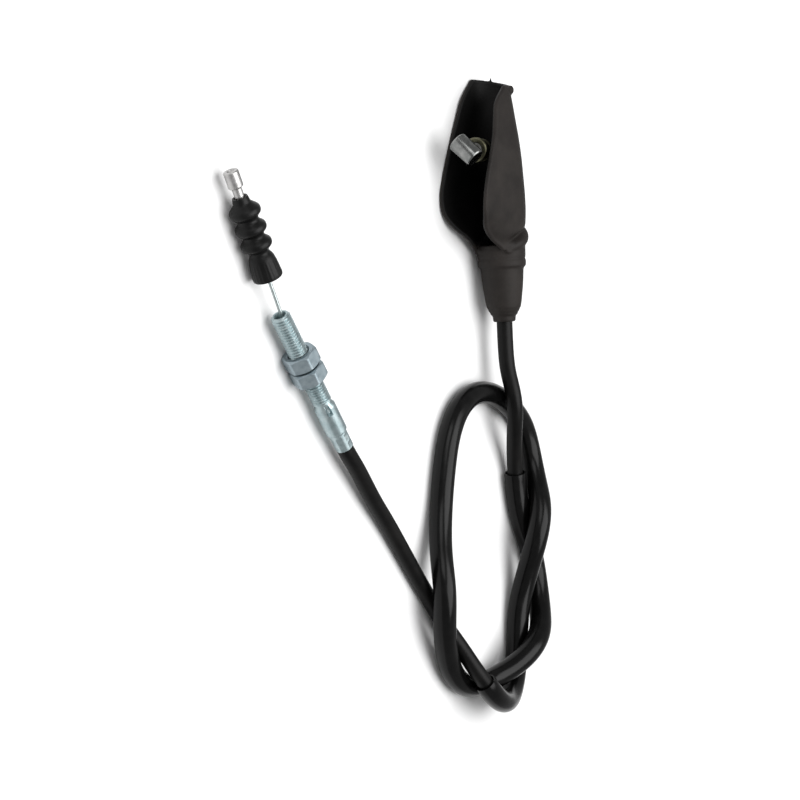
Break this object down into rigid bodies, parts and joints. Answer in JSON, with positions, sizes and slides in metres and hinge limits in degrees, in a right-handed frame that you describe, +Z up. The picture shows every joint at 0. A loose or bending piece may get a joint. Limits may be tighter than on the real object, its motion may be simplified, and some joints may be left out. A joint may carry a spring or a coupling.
{
  "type": "clutch cable",
  "caption": "Sheathed pull cable laid in a loop, with a barrel nipple under a rubber lever boot at one end and a threaded adjuster, bellows and end nipple at the other.",
  "frame": {"origin": "on the bench below the middle of the box around the two end assemblies, the casing and its tubes left out", "axes": "+Z up from the bench the cable lies on, +Y from the coil towards the lever end's boot, +X from the adjuster end towards the boot"},
  "size_m": [0.2312, 0.2752, 0.0241],
  "materials": {
    "jacket": "satin",
    "sleeve": "gloss",
    "rubber": "satin",
    "boot": "matt",
    "zinc": "zinc plated",
    "bright": "plated",
    "yellow": "yellow zinc plated",
    "insert": "matt",
    "wire": "stranded",
    "spiral": "drawn",
    "liner": "satin"
  },
  "bodies": {
    "casing": {"casing_jacket": "jacket", "casing_spiral": "spiral", "casing_liner": "liner", "inner_wire_run": "wire", "loose_sleeve": "sleeve", "adjuster_barrel": "zinc", "lever_ferrule": "yellow", "ferrule_insert": "insert"},
    "upper_nut": {"lock_nut_upper": "zinc"},
    "lower_nut": {"lock_nut_lower": "zinc"},
    "release_end": {"lower_wire": "wire", "bellows": "rubber", "end_nipple": "bright"},
    "lever_end": {"barrel_nipple": "bright", "lever_wire": "wire"},
    "boot": {"lever_boot": "boot"}
  },
  "joints": [
    {"name": "lever_pull", "type": "slide", "parent": "casing", "child": "lever_end", "axis": [-0.9865, -0.0863, 0.1392], "range_m": [0, 0.008]},
    {"name": "release_pull", "type": "slide", "parent": "casing", "child": "release_end", "axis": [0.515, -0.8572, 0], "range_m": [0, 0.008]},
    {"name": "upper_nut_travel", "type": "slide", "parent": "casing", "child": "upper_nut", "axis": [-0.6428, 0.766, 0], "range_m": [0, 0.014]},
    {"name": "lower_nut_travel", "type": "slide", "parent": "casing", "child": "lower_nut", "axis": [0.6428, -0.766, 0], "range_m": [0, 0.008]},
    {"name": "boot_slide", "type": "slide", "parent": "casing", "child": "boot", "axis": [0.0872, -0.9962, 0], "range_m": [0, 0.01]}
  ],
  "couplings": [
    {"joint": "release_pull", "follows": "lever_pull", "ratio": 1}
  ]
}
